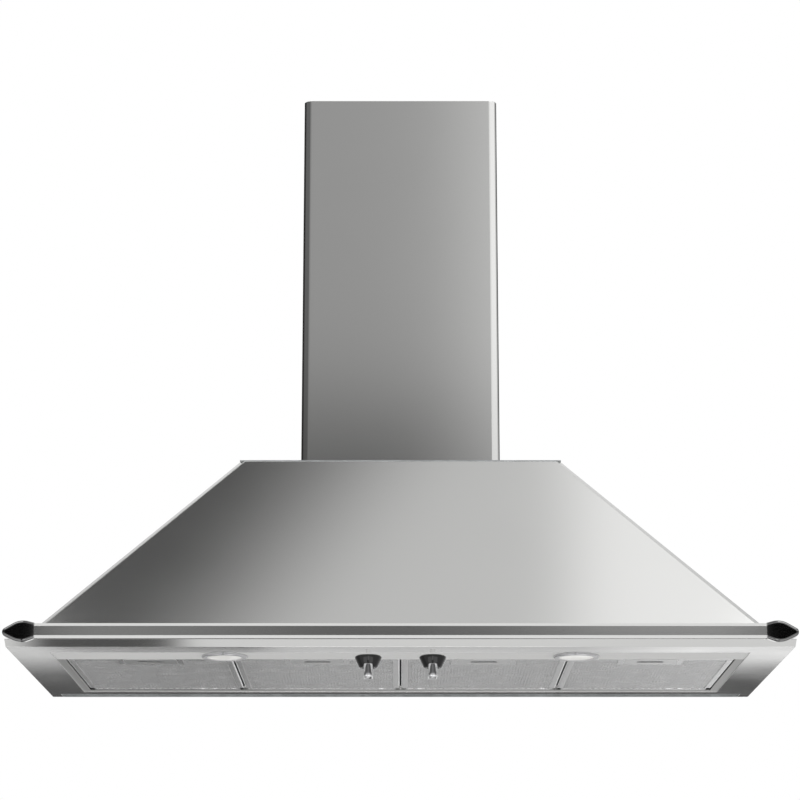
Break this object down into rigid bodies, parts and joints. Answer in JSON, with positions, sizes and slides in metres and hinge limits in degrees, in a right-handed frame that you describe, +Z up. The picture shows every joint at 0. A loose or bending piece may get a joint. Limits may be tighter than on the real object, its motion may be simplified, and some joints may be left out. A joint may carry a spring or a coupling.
{
  "type": "wall mount range hood",
  "caption": "Stainless pyramid wall hood with a telescopic chimney cover, front utensil rail, swing-down grease filters, lamps, turn knobs and an inner blower.",
  "frame": {"origin": "on the wall plane, on the centre line, at the level of the base frame's underside", "axes": "+X to the right as seen from the room, +Y into the wall, +Z up"},
  "size_m": [1.1, 0.5065, 0.9296],
  "materials": {
    "stainless": "satin, fine brushed",
    "rail_steel": "polished bevels, satin face",
    "galvanised": "zinc coated, dull",
    "fasteners": "zinc plated",
    "cap_black": "gloss black",
    "duct_plastic": "moulded black",
    "shaft_steel": "ground",
    "motor_paint": "black lacquer",
    "impeller_plastic": "moulded grey",
    "wiring_plastic": "moulded light grey",
    "chrome": "mirror chrome",
    "lamp_glass": "frosted",
    "lamp_can": "bright reflector",
    "lamp_bulb": "frosted capsule",
    "filter_frame": "anodised satin",
    "filter_mesh": "expanded mesh",
    "filter_latch": "anodised satin"
  },
  "bodies": {
    "hood": {"base_frame": "stainless", "lamp_strip": "stainless", "bay_surround": "stainless", "canopy_shell": "stainless", "lower_chimney": "stainless", "back_panel": "galvanised", "top_deck": "galvanised", "blower_housing": "galvanised", "motor_spider": "galvanised", "rail_screws": "fasteners", "canopy_screws": "fasteners", "deck_screws": "fasteners", "chimney_screws": "fasteners", "front_rail": "rail_steel", "left_corner_cap": "cap_black", "right_corner_cap": "cap_black", "outlet_collar": "duct_plastic", "flap_pin": "shaft_steel", "blower_motor": "motor_paint", "junction_box": "wiring_plastic", "cable_gland": "wiring_plastic", "left_lamp_bezel": "chrome", "left_lamp_lens": "lamp_glass", "left_lamp_can": "lamp_can", "left_lamp_bulb": "lamp_bulb", "left_switch": "wiring_plastic", "right_lamp_bezel": "chrome", "right_lamp_lens": "lamp_glass", "right_lamp_can": "lamp_can", "right_lamp_bulb": "lamp_bulb", "right_switch": "wiring_plastic"},
    "left_knob": {"left_knob": "chrome", "left_spindle": "shaft_steel"},
    "right_knob": {"right_knob": "chrome", "right_spindle": "shaft_steel"},
    "impeller": {"impeller": "impeller_plastic", "motor_shaft": "shaft_steel"},
    "left_flap": {"left_flap": "duct_plastic"},
    "right_flap": {"right_flap": "duct_plastic"},
    "upper_chimney": {"upper_chimney": "stainless", "chimney_bracket": "galvanised", "bracket_screws": "fasteners"},
    "filter_1": {"filter_1_frame": "filter_frame", "filter_1_mesh": "filter_mesh"},
    "filter_1_latch": {"filter_1_latch": "filter_latch"},
    "filter_2": {"filter_2_frame": "filter_frame", "filter_2_mesh": "filter_mesh"},
    "filter_2_latch": {"filter_2_latch": "filter_latch"},
    "filter_3": {"filter_3_frame": "filter_frame", "filter_3_mesh": "filter_mesh"},
    "filter_3_latch": {"filter_3_latch": "filter_latch"},
    "filter_4": {"filter_4_frame": "filter_frame", "filter_4_mesh": "filter_mesh"},
    "filter_4_latch": {"filter_4_latch": "filter_latch"}
  },
  "joints": [
    {"name": "left_knob_turn", "type": "hinge", "parent": "hood", "child": "left_knob", "pos_m": [-0.0455, -0.412, 0], "axis": [0, 0, 1], "range_deg": [0, 90]},
    {"name": "right_knob_turn", "type": "hinge", "parent": "hood", "child": "right_knob", "pos_m": [0.0455, -0.412, 0], "axis": [0, 0, 1], "range_deg": [0, 135]},
    {"name": "impeller_spin", "type": "hinge", "parent": "hood", "child": "impeller", "pos_m": [0, -0.184, 0.165], "axis": [1, 0, 0], "continuous": true},
    {"name": "left_flap_lift", "type": "hinge", "parent": "hood", "child": "left_flap", "pos_m": [0, -0.125, 0.3505], "axis": [0, 1, 0], "range_deg": [0, 75]},
    {"name": "right_flap_lift", "type": "hinge", "parent": "hood", "child": "right_flap", "pos_m": [0, -0.125, 0.3505], "axis": [0, -1, 0], "range_deg": [0, 75]},
    {"name": "upper_chimney_slide", "type": "slide", "parent": "hood", "child": "upper_chimney", "axis": [0, 0, 1], "range_m": [0, 0.3]},
    {"name": "filter_1_swing", "type": "hinge", "parent": "hood", "child": "filter_1", "pos_m": [-0.3585, -0.0675, 0.0027], "axis": [1, 0, 0], "range_deg": [0, 60]},
    {"name": "filter_1_latch_slide", "type": "slide", "parent": "filter_1", "child": "filter_1_latch", "axis": [0, -1, 0], "range_m": [0, 0.005]},
    {"name": "filter_2_swing", "type": "hinge", "parent": "hood", "child": "filter_2", "pos_m": [-0.1195, -0.0675, 0.0027], "axis": [1, 0, 0], "range_deg": [0, 60]},
    {"name": "filter_2_latch_slide", "type": "slide", "parent": "filter_2", "child": "filter_2_latch", "axis": [0, -1, 0], "range_m": [0, 0.005]},
    {"name": "filter_3_swing", "type": "hinge", "parent": "hood", "child": "filter_3", "pos_m": [0.1195, -0.0675, 0.0027], "axis": [1, 0, 0], "range_deg": [0, 60]},
    {"name": "filter_3_latch_slide", "type": "slide", "parent": "filter_3", "child": "filter_3_latch", "axis": [0, -1, 0], "range_m": [0, 0.005]},
    {"name": "filter_4_swing", "type": "hinge", "parent": "hood", "child": "filter_4", "pos_m": [0.3585, -0.0675, 0.0027], "axis": [1, 0, 0], "range_deg": [0, 60]},
    {"name": "filter_4_latch_slide", "type": "slide", "parent": "filter_4", "child": "filter_4_latch", "axis": [0, -1, 0], "range_m": [0, 0.005]}
  ]
}
